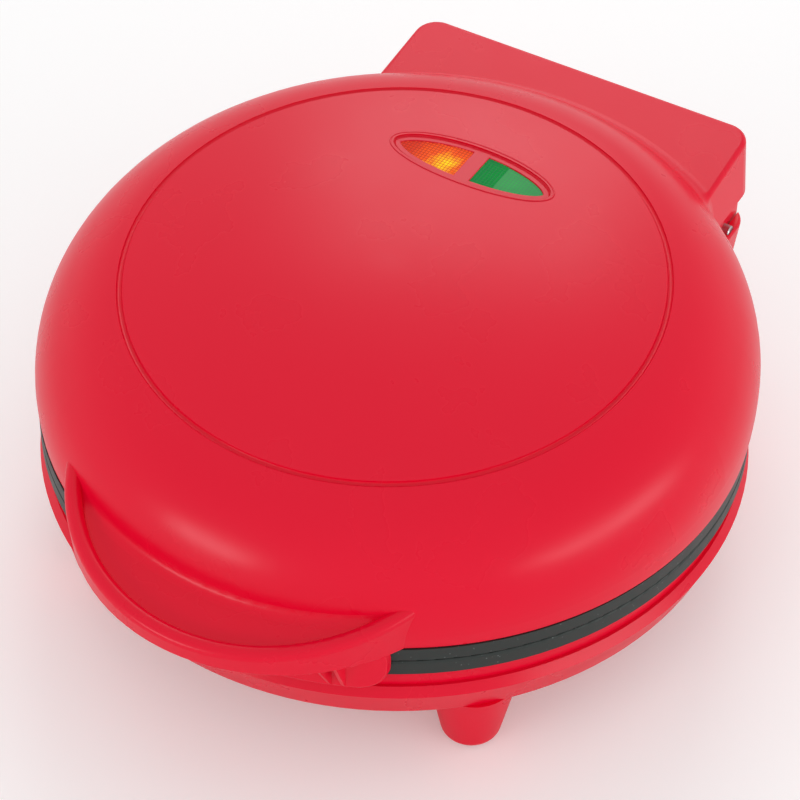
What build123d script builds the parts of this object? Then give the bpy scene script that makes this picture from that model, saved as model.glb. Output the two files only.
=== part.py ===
from build123d import *

import os
from math import asin, atan, cos, degrees, radians, sin, sqrt, tan

# Omelette maker: a round lower housing on four feet carries one heated plate, and a
# domed lid, hinged at the rear, carries the other. Units are millimetres, +Z is up, the
# front with the handle faces -Y, and the origin lies on the axis of the round body, in
# the plane that the rubber pads rest on.

os.makedirs("parts", exist_ok=True)

# Moulded walls and fits; the round pieces follow the body's radius
body_r = 97.4
wall = 2.4
plate_gap = 0.4  # the two closed cooking plates stand this far apart
running_gap = 0.5
slip_fit = 0.1

# Lower housing
pad_drop = 1.0
foot_height = 21.0
housing_inset = 0.1
bottom_inset = 4.0
step_inset = 1.7
collar_inset = 0.9
housing_wall_height = 13.0
housing_widest_height = 10.4
collar_height = 6.0
bottom_round = 2.5
shoulder_round = 3.0
step_round = 0.4

# Feet and pads
foot_inset = 10.5
foot_angle = 46.0
foot_top_r = 12.0
foot_end_r = 7.8
foot_round = 3.2
pad_r = 4.4
pad_thickness = 2.0
pad_chamfer = 0.4

# Cooking plates
plate_inset = 0.8
plate_rim_height = 4.4
plate_rim_wall = 2.6
plate_thickness = 2.4
pocket_margin = 16.6
pocket_depth = 10.0
pocket_corner_r = 12.0
pocket_draft = 14.0
pocket_lip_round = 1.0
pocket_floor_round = 4.0
plate_edge_round = 0.5
divider_width = 9.0
post_inset = 9.6
post_r = 3.4
post_length = 7.0

# Plate screws
screw_r = 1.5
screw_head_r = 3.0
screw_head_height = 1.6
screw_grip = 5.5

# Heaters, reflectors and what is wired to them
heater_tube_r = 3.1
heater_leg_x = 42.0
heater_leg_rear = 54.0
heater_bend_y = -8.0
bead_length = 6.0
heater_pin_r = 1.2
heater_pin_length = 9.0
contact_gap = 0.1
reflector_thickness = 0.6
reflector_margin = 2.0
reflector_lip = 2.5
bead_r = 2.4
sensor_x = 20.0
sensor_y = 10.0
thermostat_r = 6.0
thermostat_height = 6.6
fuse_r = 2.0
fuse_length = 11.0
fuse_lead_r = 0.5
fuse_lead = 5.0

# Lid dome
dome_tilt = 4.2
dome_pivot_height = 20.0
dome_widest_height = 9.4
dome_shoulder_r = 31.0
dome_tuck_r = 70.0
dome_tuck_depth = 24.0
groove_inset = 25.2
groove_width = 1.7
groove_depth = 0.8
lid_edge_round = 0.7
box_foot_round = 1.0

# Hinge box of the lid
lid_box_half_width = 54.1
lid_box_setback = 0.5
lid_box_bottom_height = 13.0
lid_box_rear_height = 32.0
lid_box_slope = 6.0
lid_box_draft = 4.4
lid_box_corner_r = 8.0
lid_box_edge_round = 1.4
box_front_y = 60.0
crease_round = 6.0

# Hinge box of the housing
base_box_half_width = 53.8
base_box_reach = 14.6
base_box_top_height = 1.5
base_box_side_lean = 1.9
base_box_rear_lean = 5.7
base_box_corner_r = 8.0
base_box_clearance = 2.0
base_box_round = 0.8

# Hinge
hinge_reach = 3.1
hinge_height = 1.0
pin_r = 2.0
pin_fit = 0.06
ear_r = 9.2
ear_inner_x = 46.0
ear_thickness = 4.5
ear_root_skin = 1.2
knuckle_thickness = 4.4
pin_skin = 0.8
pin_seat = 0.02
pin_chamfer = 0.3

# Handle
handle_r = 56.3
handle_centre_inset = 40.2
handle_front_height = 6.0
handle_slope = 13.2
handle_draft = 5.0
handle_rim_width = 4.4
handle_rim_round = 2.0
handle_foot_round = 0.7
tray_depth = 2.5
tray_floor = 2.4
tray_blend = 3.5
skirt_half_width = 47.5
skirt_drop = 12.0
skirt_corner_r = 7.0
skirt_gap = 0.9
skirt_wall = 2.0
skirt_round = 0.8
rib_thickness = 1.2
rib_pitch = 3.2
rib_first_x = 34.5
rib_low = 1.0

# Indicator lamps
bezel_y = 42.0
bezel_half_length = 25.0
bezel_half_width = 9.0
bezel_lip = 1.1
bezel_thickness = 3.4
bezel_proud = 0.5
bezel_rim = 2.0
bezel_dish = 0.7
window_rim = 2.1
crossbar_width = 5.0
window_corner_r = 0.9
lens_crown = 0.35
lens_flange = 1.0
lamp_r = 2.4
lamp_length = 9.0
holder_thickness = 1.6
holder_width = 8.0
holder_leg_width = 4.0

# Bosses, vents and screws of the housing
boss_wall = 2.2
head_recess = 3.0
vent_length = 26.0
vent_width = 2.2
vent_pitch = 7.0
vent_span = 38.0
vent_rows = 6

# Supply entry
inlet_height = 8.6  # above the underside of the housing
inlet_bore_r = 3.4
inlet_body_r = 5.0
inlet_flange_r = 6.6
inlet_flange = 1.6
clamp_length = 22.0
clamp_width = 8.0
clamp_thickness = 2.4
clamp_setback = 15.0

# Terminal block and wires
block_length = 24.0
block_width = 10.0
block_height = 10.0
block_x = -24.0
block_setback = 13.5
block_ways = 4
block_way_pitch = 6.0
block_screw_r = 1.6
wire_r = 0.8
wire_bend = 3.0
outer_turn_y = 73.0
outer_arrive_y = 83.0
inner_turn_y = 60.0
inner_arrive_y = 74.0
lid_rise_y = 76.0
lid_rise = 12.6
lamp_turn_y = 62.0
lamp_turn_drop = 2.0
lid_fuse_turn_x = 30.0
lid_fuse_turn_y = 50.0

# Radii and places that follow from the body's radius
housing_widest_r = body_r - housing_inset
housing_bottom_r = housing_widest_r - bottom_inset
housing_step_r = housing_widest_r - step_inset
housing_collar_r = housing_step_r - collar_inset
foot_circle_r = housing_bottom_r - foot_inset
plate_r = body_r - plate_inset
pocket_r = plate_r - pocket_margin
post_circle_r = plate_r - post_inset
reflector_r = pocket_r - reflector_margin
groove_r = body_r - groove_inset
hinge_y = body_r + hinge_reach
base_box_rear = body_r + base_box_reach
lid_box_rear = base_box_rear - lid_box_setback
base_box_inner_r = plate_r + base_box_clearance
handle_centre_y = handle_centre_inset - body_r
clamp_y = base_box_rear - clamp_setback
block_y = base_box_rear - block_setback

# Levels that follow from the stack of pieces
housing_z = pad_drop + foot_height
widest_z = housing_z + housing_widest_height
step_z = housing_z + housing_wall_height
collar_z = step_z + collar_height
lower_top_z = collar_z + plate_rim_height
upper_bottom_z = lower_top_z + plate_gap
lid_edge_z = upper_bottom_z + plate_rim_height
floor_z = housing_z + wall
hinge_z = lid_edge_z + hinge_height
base_box_top_z = lid_edge_z + base_box_top_height

# Frame of the lid's dome: its own axis leans forward, so the crown rises to the rear
tilt_sin, tilt_cos = sin(radians(dome_tilt)), cos(radians(dome_tilt))
dome_plane = Plane(
    origin=(0, 0, lid_edge_z + dome_pivot_height),
    x_dir=(1, 0, 0),
    z_dir=(0, -tilt_sin, tilt_cos),
)
dome_section = Plane(dome_plane.origin, x_dir=(1, 0, 0), z_dir=(0, -tilt_cos, -tilt_sin))
shoulder_x = body_r - dome_shoulder_r
shoulder_sin = (groove_r - shoulder_x) / dome_shoulder_r
shoulder_cos = sqrt(1 - shoulder_sin**2)
crown_r = groove_r / shoulder_sin
widest_level = dome_widest_height - dome_pivot_height
groove_level = widest_level + dome_shoulder_r * shoulder_cos
crown_level = groove_level + crown_r * (1 - shoulder_cos)


def dome_solid(inset):
    """The dome's volume, drawn in by inset, cut level with the lid's lower edge."""
    low_level = widest_level - dome_tuck_depth
    tuck = dome_tuck_r - inset
    low_x = body_r - dome_tuck_r + sqrt(tuck**2 - dome_tuck_depth**2)
    side = (body_r - inset, widest_level)
    join = (
        shoulder_x + (dome_shoulder_r - inset) * shoulder_sin,
        widest_level + (dome_shoulder_r - inset) * shoulder_cos,
    )
    with BuildPart() as dome:
        with BuildSketch(dome_section):
            with BuildLine():
                Line((0, low_level), (0, crown_level - inset))
                TangentArc((0, crown_level - inset), join, tangent=(1, 0))
                TangentArc(side, join, tangent=(0, 1))
                TangentArc(side, (low_x, low_level), tangent=(0, -1))
                Line((low_x, low_level), (0, low_level))
            make_face()
        revolve(axis=Axis(dome_plane.origin, dome_plane.z_dir))
        split(bisect_by=Plane.XY.offset(lid_edge_z), keep=Keep.TOP)
        if not inset:
            fillet(dome.edges().group_by(Axis.Z)[0], lid_edge_round)
    return dome.part


def box_slope_plane(inset):
    """Top plane of the lid's hinge box, which rises to the rear."""
    slope = radians(lid_box_slope)
    return Plane(
        origin=(0, lid_box_rear, lid_edge_z + lid_box_rear_height - inset),
        x_dir=(1, 0, 0),
        z_dir=(0, -sin(slope), cos(slope)),
    )


def rounded_outline(half_width, front, rear, corner_r):
    """Plan of a hinge box: straight front, rounded corners at the rear."""
    with BuildSketch() as plan:
        with BuildLine():
            Polyline((-half_width, rear), (-half_width, front), (half_width, front),
                     (half_width, rear), (-half_width, rear))
        make_face()
        fillet(plan.vertices().group_by(Axis.Y)[-1], corner_r)
    return plan.sketch


def lid_box_solid(inset, bottom, round_r):
    """The lid's hinge box, drawn in by inset, with drafted sides and a sloping top."""
    outline = rounded_outline(
        lid_box_half_width - inset, box_front_y, lid_box_rear - inset, lid_box_corner_r - inset
    )
    height = lid_box_rear_height + lid_box_bottom_height
    with BuildPart() as box:
        with BuildSketch(Plane.XY.offset(bottom)):
            add(outline)
        extrude(amount=height, taper=lid_box_draft)
        split(bisect_by=box_slope_plane(inset), keep=Keep.BOTTOM)
        if round_r:
            top = box.faces().sort_by(Axis.Z)[-1]
            fillet(top.edges().filter_by(lambda e: e.center().Y > box_front_y + 1), round_r)
    return box.part


def base_box_solid(inset):
    """The housing's hinge box, drawn in by inset, narrowing towards the bottom."""
    top_z = base_box_top_z - inset
    bottom_z = housing_z + inset
    fall = base_box_top_z - housing_z
    with BuildPart() as box:
        for level in (top_z, bottom_z):
            share = (base_box_top_z - level) / fall
            with BuildSketch(Plane.XY.offset(level)):
                add(rounded_outline(
                    base_box_half_width - base_box_side_lean * share - inset,
                    box_front_y,
                    base_box_rear - base_box_rear_lean * share - inset,
                    base_box_corner_r - inset,
                ))
        loft(ruled=True)
        if not inset:
            top = box.faces().sort_by(Axis.Z)[-1]
            fillet(top.edges().filter_by(lambda e: e.center().Y > box_front_y + 1), base_box_round)
            low = box.faces().sort_by(Axis.Z)[0]
            fillet(low.edges().filter_by(lambda e: e.center().Y > box_front_y + 1), box_foot_round)
    return box.part


def finish_piece(part, name):
    """Label one piece and write it."""
    part.label = name
    export_step(part, f"parts/{name}.step")
    return part


# Solids that several pieces are cut from or joined to
dome_outer = dome_solid(0)
dome_inner = dome_solid(wall)
dome_solid_mid = dome_solid(wall / 2)
lid_box_outer = lid_box_solid(0, lid_edge_z + lid_box_bottom_height, lid_box_edge_round)
lid_box_inner = lid_box_solid(wall, lid_edge_z + lid_box_bottom_height - 1, 0)
base_box_outer = base_box_solid(0)
base_box_inner = base_box_solid(wall)

# Post positions shared by the plates, the housing and the lid
post_angles = (0, 90, 180, 270)
screw_places = PolarLocations(post_circle_r, len(post_angles))
ear_centre_x = ear_inner_x + ear_thickness / 2
slot_half = ear_thickness / 2 + running_gap
slot_r = ear_r + running_gap
hinge_section = Plane(origin=(0, hinge_y, hinge_z), x_dir=(0, 1, 0), z_dir=(1, 0, 0))


# Places of the four feet, on two diagonals
foot_x = foot_circle_r * cos(radians(foot_angle))
foot_y = foot_circle_r * sin(radians(foot_angle))
foot_places = GridLocations(2 * foot_x, 2 * foot_y, 2, 2)
foot_taper = degrees(atan((foot_top_r - foot_end_r) / foot_height))

# Frame of the supply entry, square to the leaning rear face
rear_lean = base_box_rear_lean / (base_box_top_z - housing_z)
inlet_z = housing_z + inlet_height
inlet_plane = Plane(
    origin=(0, base_box_rear - rear_lean * (base_box_top_z - inlet_z), inlet_z),
    x_dir=(1, 0, 0),
    z_dir=(0, 1, -rear_lean),
)

# Heights of the plates' undersides, where posts, heaters and screws start
lower_flange_z = lower_top_z - plate_thickness
lower_post_z = lower_flange_z - post_length
lower_pocket_z = lower_top_z - pocket_depth - plate_thickness
upper_flange_z = upper_bottom_z + plate_thickness
upper_post_z = upper_flange_z + post_length
upper_pocket_z = upper_bottom_z + pocket_depth + plate_thickness

# Places along the hinge: slot, inner wall and pin on each side
knuckle_outer_x = ear_centre_x - slot_half
knuckle_centre_x = knuckle_outer_x - knuckle_thickness / 2
knuckle_front = hinge_y - sqrt(base_box_inner_r**2 - knuckle_outer_x**2) - wall / 2
knuckle_rear = base_box_rear - rear_lean * (slot_r + running_gap) - wall / 2 - hinge_y
knuckle_top = base_box_top_z - wall / 2 - hinge_z
pin_inner_x = knuckle_outer_x - knuckle_thickness
pin_outer_x = base_box_half_width - pin_skin
pin_centre_x = (pin_inner_x + pin_outer_x) / 2
pin_length = pin_outer_x - pin_inner_x
boss_r = screw_head_r + boss_wall
clamp_z = inlet_z + inlet_bore_r
clamp_post_r = screw_r + boss_wall
clamp_points = [(side * (clamp_length / 2 - clamp_post_r), clamp_y) for side in (-1, 1)]

# Hollow of the housing's hinge box, which leaves a curved front wall and a ledge
with BuildPart() as base_box_hollow:
    add(base_box_inner)
    with Locations((0, 0, collar_z - wall)):
        Cylinder(
            base_box_inner_r + wall, base_box_top_z,
            align=(Align.CENTER, Align.CENTER, Align.MIN), mode=Mode.SUBTRACT,
        )


# Lower housing: bowl, collar, feet and hinge box
with BuildPart() as base_housing:
    with BuildSketch(Plane.XZ):
        with BuildLine():
            Polyline(
                (0, housing_z), (housing_bottom_r, housing_z), (housing_widest_r, widest_z),
                (housing_step_r, step_z), (housing_collar_r, step_z), (housing_collar_r, collar_z),
                (0, collar_z), (0, housing_z),
            )
        bowl_face = make_face()
        for corner_r, corner_z, round_r in (
            (housing_bottom_r, housing_z, bottom_round),
            (housing_widest_r, widest_z, shoulder_round),
            (housing_step_r, step_z, step_round),
        ):
            corner = bowl_face.vertices().sort_by_distance((corner_r, 0, corner_z))[0]
            fillet(corner, round_r)
    revolve(axis=Axis.Z)
    with BuildSketch(Plane.XY.offset(housing_z + 1)):
        with foot_places:
            Circle(foot_top_r)
    extrude(amount=-foot_height - 1, taper=foot_taper)
    add(base_box_outer)
    with Locations((0, 0, collar_z)):
        Cylinder(
            base_box_inner_r, base_box_top_z,
            align=(Align.CENTER, Align.CENTER, Align.MIN), mode=Mode.SUBTRACT,
        )
    fillet(base_housing.edges().group_by(Axis.Z)[0], foot_round)

    # Hollow the bowl, the hinge box and the feet from inside
    with BuildSketch(Plane.XZ):
        with BuildLine():
            Polyline(
                (0, floor_z), (housing_bottom_r - wall, floor_z), (housing_collar_r - wall, collar_z),
                (0, collar_z), (0, floor_z),
            )
        make_face()
    revolve(axis=Axis.Z, mode=Mode.SUBTRACT)
    add(base_box_hollow, mode=Mode.SUBTRACT)
    with BuildSketch(Plane.XY.offset(floor_z + 1)):
        with foot_places:
            Circle(foot_top_r - wall)
    extrude(amount=-foot_height + pad_thickness, taper=foot_taper, mode=Mode.SUBTRACT)

    # Inner walls that carry the pins, beside the slots for the lid's ears
    for side in (-1, 1):
        with BuildSketch(hinge_section.offset(side * knuckle_centre_x)):
            with BuildLine():
                Polyline(
                    (-knuckle_front, -slot_r), (knuckle_rear, -slot_r), (knuckle_rear, knuckle_top),
                    (-knuckle_front, knuckle_top), (-knuckle_front, -slot_r),
                )
            make_face()
        extrude(amount=knuckle_thickness / 2, both=True)
        with BuildSketch(hinge_section.offset(side * ear_centre_x)):
            Circle(slot_r)
            with Locations((0, slot_r)):
                Rectangle(2 * slot_r, 2 * slot_r)
            with Locations((slot_r, 0)):
                Rectangle(2 * slot_r, 2 * slot_r)
        extrude(amount=slot_half, both=True, mode=Mode.SUBTRACT)
        with BuildSketch(hinge_section.offset(side * pin_centre_x)):
            Circle(pin_r + pin_seat)
        extrude(amount=pin_length / 2, both=True, mode=Mode.SUBTRACT)

    # Screw bosses under the lower plate's posts
    with BuildSketch(Plane.XY.offset(floor_z)):
        with screw_places:
            Circle(boss_r)
    extrude(amount=lower_post_z - floor_z)
    with BuildSketch(Plane.XY.offset(lower_post_z)):
        with screw_places:
            Circle(screw_r + slip_fit)
    extrude(amount=-lower_post_z + housing_z, mode=Mode.SUBTRACT)
    with BuildSketch(Plane.XY.offset(housing_z)):
        with screw_places:
            Circle(screw_head_r + running_gap)
    extrude(amount=head_recess + screw_head_height, mode=Mode.SUBTRACT)

    # Seats of the rubber pads and the vents in the underside
    with BuildSketch(Plane.XY.offset(pad_drop)):
        with foot_places:
            Circle(pad_r + slip_fit)
    extrude(amount=pad_thickness - pad_drop, mode=Mode.SUBTRACT)
    with BuildSketch(Plane.XY.offset(housing_z)):
        with GridLocations(vent_span, vent_pitch, 2, vent_rows):
            SlotOverall(vent_length, vent_width)
    extrude(amount=wall, mode=Mode.SUBTRACT)

    # Hole for the inlet bush and the two posts of the cord clamp
    with BuildSketch(inlet_plane):
        Circle(inlet_body_r + slip_fit)
    extrude(amount=-2 * wall, mode=Mode.SUBTRACT)
    with BuildSketch(Plane.XY.offset(floor_z)):
        with Locations(*clamp_points):
            Circle(clamp_post_r)
    extrude(amount=clamp_z - floor_z)
    with BuildSketch(Plane.XY.offset(clamp_z)):
        with Locations(*clamp_points):
            Circle(screw_r)
    extrude(amount=-screw_grip, mode=Mode.SUBTRACT)
finish_piece(base_housing.part, "base_housing")


# Four rubber pads pressed into the feet
with BuildPart() as foot_pads:
    with BuildSketch():
        with foot_places:
            Circle(pad_r)
    extrude(amount=pad_thickness)
    chamfer(foot_pads.edges().group_by(Axis.Z)[0], pad_chamfer)
finish_piece(foot_pads.part, "foot_pads")


# Steel pins, blind in the housing's side walls
with BuildPart() as hinge_pins:
    for side in (-1, 1):
        with BuildSketch(hinge_section.offset(side * pin_centre_x)):
            Circle(pin_r)
        extrude(amount=pin_length / 2 - slip_fit, both=True)
    chamfer(hinge_pins.edges().filter_by(GeomType.CIRCLE), pin_chamfer)
finish_piece(hinge_pins.part, "hinge_pins")


def pocket_plan(inset):
    """Plan of the two half-moon pockets, drawn in by inset."""
    flat_x = divider_width / 2 + inset
    radius = pocket_r - inset
    top_y = sqrt(radius**2 - flat_x**2)
    with BuildSketch() as plan:
        with BuildLine():
            Line((flat_x, -top_y), (flat_x, top_y))
            ThreePointArc((flat_x, top_y), (radius, 0), (flat_x, -top_y))
        make_face()
        fillet(plan.vertices(), pocket_corner_r - inset)
        mirror(about=Plane.YZ)
    return plan.sketch


# A plain cooking plate: flange, rim, two pockets and four posts, cooking face up
pocket_plan_inner = pocket_plan(0)
pocket_plan_outer = pocket_plan(-plate_thickness)
face_down = Plane(origin=(0, 0, lower_top_z), x_dir=(1, 0, 0), z_dir=(0, 0, -1))
with BuildPart() as plate_blank:
    with BuildSketch(face_down):
        Circle(plate_r)
    extrude(amount=plate_rim_height)
    with BuildSketch(face_down.offset(plate_thickness)):
        Circle(plate_r - plate_rim_wall)
    extrude(amount=plate_rim_height, mode=Mode.SUBTRACT)
    with BuildSketch(face_down):
        add(pocket_plan_outer)
    extrude(amount=pocket_depth + plate_thickness, taper=pocket_draft)
    with BuildSketch(face_down):
        add(pocket_plan_inner)
    extrude(amount=pocket_depth, taper=pocket_draft, mode=Mode.SUBTRACT)
    pocket_floors = plate_blank.faces().filter_by(
        lambda f: abs(f.center().Z - lower_top_z + pocket_depth) < 0.01 and f.normal_at().Z > 0.99
    )
    fillet(pocket_floors.edges(), pocket_floor_round)
    cooking_face = plate_blank.faces().sort_by(Axis.Z)[-1]
    rim_edge = cooking_face.edges().filter_by(GeomType.CIRCLE).sort_by(SortBy.RADIUS)[-1:]
    fillet(cooking_face.edges() - rim_edge, pocket_lip_round)
    fillet(rim_edge, plate_edge_round)
    with BuildSketch(face_down.offset(plate_thickness)):
        with screw_places:
            Circle(post_r)
    extrude(amount=post_length)


# Lower cooking plate, with blind holes for the screws from below
with BuildPart() as lower_plate:
    add(plate_blank.part)
    with BuildSketch(Plane.XY.offset(lower_post_z)):
        with screw_places:
            Circle(screw_r)
    extrude(amount=screw_grip, mode=Mode.SUBTRACT)
finish_piece(lower_plate.part, "lower_plate")


# Upper cooking plate, the same plate face down, screwed to the lid from its cooking face
with BuildPart() as upper_plate:
    mirror(plate_blank.part, about=Plane.XY.offset((lower_top_z + upper_bottom_z) / 2))
    with BuildSketch(Plane.XY.offset(upper_bottom_z)):
        with screw_places:
            Circle(screw_r + slip_fit)
    extrude(amount=plate_thickness + post_length, mode=Mode.SUBTRACT)
    with BuildSketch(Plane.XY.offset(upper_bottom_z)):
        with screw_places:
            Circle(screw_head_r + slip_fit)
    extrude(amount=screw_head_height, mode=Mode.SUBTRACT)
finish_piece(upper_plate.part, "upper_plate")


# Planes of the sloping handle tray
handle_front_y = handle_centre_y - handle_r
slope_sin, slope_cos = sin(radians(handle_slope)), cos(radians(handle_slope))
rim_plane = Plane(
    origin=(0, handle_front_y, lid_edge_z + handle_front_height),
    x_dir=(1, 0, 0),
    z_dir=(0, -slope_sin, slope_cos),
)
ceiling_plane = rim_plane.offset(-tray_depth - tray_floor)
handle_reach = dome_widest_height + wall * 3 + handle_front_height
handle_lean = tan(radians(handle_draft))
handle_foot_r = handle_r - handle_front_height * handle_lean
skirt_inner_r = plate_r + skirt_gap
skirt_outer_r = skirt_inner_r + skirt_wall


# Heights and places of the ribs under the tray and of the lid's ears
ear_neck = lid_box_bottom_height - hinge_height + 1
ear_root_width = lid_box_half_width - wall / 2 - ear_root_skin - ear_inner_x
ear_root_centre_x = ear_inner_x + ear_root_width / 2
ear_root_rear = lid_box_rear - lid_box_corner_r + wall - hinge_y
ear_root_top = lid_box_rear_height - hinge_height - wall - ear_root_skin


def ceiling_z(y):
    """Height of a rib's top, inside the floor of the tray, at depth y."""
    rise = (y - handle_front_y) * slope_sin / slope_cos
    return lid_edge_z + handle_front_height - (tray_depth + tray_floor / 2) / slope_cos + rise


# The handle's tray as a block, before it joins the dome
with BuildPart() as handle_block:
    with BuildSketch(Plane.XY.offset(lid_edge_z)):
        with Locations((0, handle_centre_y)):
            Circle(handle_foot_r)
    extrude(amount=handle_reach, taper=-handle_draft)
    split(bisect_by=rim_plane, keep=Keep.BOTTOM)
    with BuildSketch(rim_plane):
        with Locations((0, handle_r)):
            Circle(handle_r - handle_rim_width)
    extrude(amount=-tray_depth, mode=Mode.SUBTRACT)
    fillet(handle_block.faces().filter_by(lambda f: f.normal_at().dot(rim_plane.z_dir) > 0.99)
           .sort_by_distance(rim_plane.origin)[0].edges(), handle_rim_round)
    fillet(handle_block.edges().group_by(Axis.Z)[0], handle_foot_round)

# The space under the tray, in front of the skirt
with BuildPart() as tray_hollow:
    with BuildSketch(Plane.XY.offset(lid_edge_z)):
        with Locations((0, handle_centre_y)):
            Circle(handle_foot_r - wall)
    extrude(amount=handle_reach, taper=-handle_draft)
    split(bisect_by=ceiling_plane, keep=Keep.BOTTOM)
    with Locations((0, 0, lid_edge_z)):
        Cylinder(skirt_outer_r, handle_reach * 3, mode=Mode.SUBTRACT)

# The skirt that hides the plates behind the handle
with BuildPart() as skirt:
    with BuildSketch(Plane.XY.offset(lid_edge_z - skirt_drop)):
        Circle(skirt_outer_r)
        Circle(skirt_inner_r, mode=Mode.SUBTRACT)
    extrude(amount=skirt_drop + wall)
    with BuildSketch(Plane.XZ):
        with BuildLine():
            Polyline(
                (-skirt_half_width, lid_edge_z + 2 * wall), (-skirt_half_width, lid_edge_z - skirt_drop),
                (skirt_half_width, lid_edge_z - skirt_drop), (skirt_half_width, lid_edge_z + 2 * wall),
                (-skirt_half_width, lid_edge_z + 2 * wall),
            )
        skirt_face = make_face()
        fillet(skirt_face.vertices().group_by(Axis.Z)[0], skirt_corner_r)
    extrude(amount=body_r * 2, mode=Mode.INTERSECT)
    skirt_faces = skirt.faces().filter_by(GeomType.CYLINDER)
    skirt_front = skirt_faces.sort_by(lambda f: f.center().Y)[0]
    fillet(skirt_front.edges().filter_by(lambda e: e.center().Z < lid_edge_z), skirt_round)

# Hollow of the lid's hinge box, kept apart from the dome by the dome's own wall
with BuildPart() as lid_box_hollow:
    add(lid_box_inner)
    add(dome_outer, mode=Mode.SUBTRACT)

# Posts inside the dome that the upper plate is screwed to
with BuildPart() as lid_posts:
    with BuildSketch(Plane.XY.offset(upper_post_z)):
        with screw_places:
            Circle(boss_r)
    extrude(amount=crown_level * 2)
    add(dome_solid_mid, mode=Mode.INTERSECT)


# Planes and outlines of the indicator bezel, tangent to the crown
bezel_angle = asin(bezel_y / crown_r)
bezel_level = crown_level - crown_r * (1 - cos(bezel_angle))
bezel_lean = bezel_angle - radians(dome_tilt)
bezel_plane = Plane(
    origin=dome_plane.from_local_coords((0, bezel_y, bezel_level)),
    x_dir=(1, 0, 0),
    z_dir=(0, sin(bezel_lean), cos(bezel_lean)),
)


def oval(inset, bar_half=0.0):
    """The bezel's oval, drawn in by inset, with an optional bar left out of its middle."""
    with BuildSketch() as plan:
        Ellipse(bezel_half_length - inset, bezel_half_width - inset)
        if bar_half:
            Rectangle(2 * bar_half, 2 * bezel_half_width, mode=Mode.SUBTRACT)
            fillet(plan.vertices(), window_corner_r)
    return plan.sketch


bezel_outline = oval(0)
bezel_body_outline = oval(bezel_lip)
bezel_hole_outline = oval(bezel_lip - slip_fit)
dish_outline = oval(bezel_rim)
window_inset = bezel_rim + window_rim
window_outline = oval(window_inset, crossbar_width / 2)
lens_outline = oval(window_inset + slip_fit, crossbar_width / 2 + slip_fit)
lens_flange_outline = oval(window_inset - lens_flange, crossbar_width / 2 - lens_flange)


# Lid cover: dome, hinge box, handle tray, skirt, ears and posts in one moulding
with BuildPart() as lid_cover:
    add(dome_outer)
    add(lid_box_outer)
    crease = lid_cover.edges().sort_by_distance((0, body_r, box_slope_plane(0).origin.Z))
    crease = crease.filter_by(lambda e: e.length > lid_box_half_width and e.center().Y < hinge_y)
    fillet(crease[0], crease_round)
    add(handle_block.part)
    floor_edges = lid_cover.edges().filter_by(
        lambda e: abs(rim_plane.to_local_coords(e.center()).Z + tray_depth) < 0.01
    )
    fillet(floor_edges.sort_by(Axis.Y)[-1], tray_blend)

    # The fine ring round the crown, and the hollows behind the skin
    with BuildSketch(dome_section):
        with Locations((groove_r, groove_level)):
            Ellipse(groove_width / 2, groove_depth)
    revolve(axis=Axis(dome_plane.origin, dome_plane.z_dir), mode=Mode.SUBTRACT)
    add(dome_inner, mode=Mode.SUBTRACT)
    add(lid_box_hollow.part, mode=Mode.SUBTRACT)
    add(skirt.part)
    add(tray_hollow.part, mode=Mode.SUBTRACT)
    add(lid_posts.part)
    with BuildSketch(Plane.XY.offset(upper_post_z)):
        with screw_places:
            Circle(screw_r)
    extrude(amount=screw_grip, mode=Mode.SUBTRACT)

    # Gussets between the skirt and the underside of the tray
    for side in (-1, 1):
        for rib_x in (rib_first_x, rib_first_x + rib_pitch):
            skirt_y = -sqrt(skirt_outer_r**2 - rib_x**2) + skirt_wall / 2
            rib_y = handle_centre_y - sqrt((handle_foot_r - wall / 2)**2 - rib_x**2)
            with BuildSketch(Plane(origin=(side * rib_x, 0, 0), x_dir=(0, 1, 0), z_dir=(1, 0, 0))):
                with BuildLine():
                    Polyline(
                        (skirt_y, lid_edge_z - skirt_drop + rib_low), (skirt_y, ceiling_z(skirt_y)),
                        (rib_y, ceiling_z(rib_y)), (rib_y, lid_edge_z), (skirt_y - rib_thickness,
                        lid_edge_z - skirt_drop + rib_low), (skirt_y, lid_edge_z - skirt_drop + rib_low),
                    )
                make_face()
            extrude(amount=rib_thickness / 2, both=True)

    # Ears that hang from the hinge box and turn on the pins
    for side in (-1, 1):
        with BuildSketch(hinge_section.offset(side * ear_centre_x)):
            Circle(ear_r)
            with Locations((0, ear_neck / 2)):
                Rectangle(2 * ear_r, ear_neck)
        extrude(amount=ear_thickness / 2, both=True)
        with BuildSketch(hinge_section.offset(side * ear_root_centre_x)):
            with BuildLine():
                Polyline(
                    (-ear_r, ear_neck - 1), (ear_root_rear, ear_neck - 1), (ear_root_rear, ear_root_top),
                    (-ear_r, ear_root_top), (-ear_r, ear_neck - 1),
                )
            make_face()
        extrude(amount=ear_root_width / 2, both=True)
        with BuildSketch(hinge_section.offset(side * ear_centre_x)):
            Circle(pin_r + pin_fit)
        extrude(amount=ear_thickness, both=True, mode=Mode.SUBTRACT)

    # Opening for the indicator bezel
    with BuildSketch(bezel_plane):
        add(bezel_hole_outline)
    extrude(amount=2 * wall, both=True, mode=Mode.SUBTRACT)
finish_piece(lid_cover.part, "lid_cover")


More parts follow.
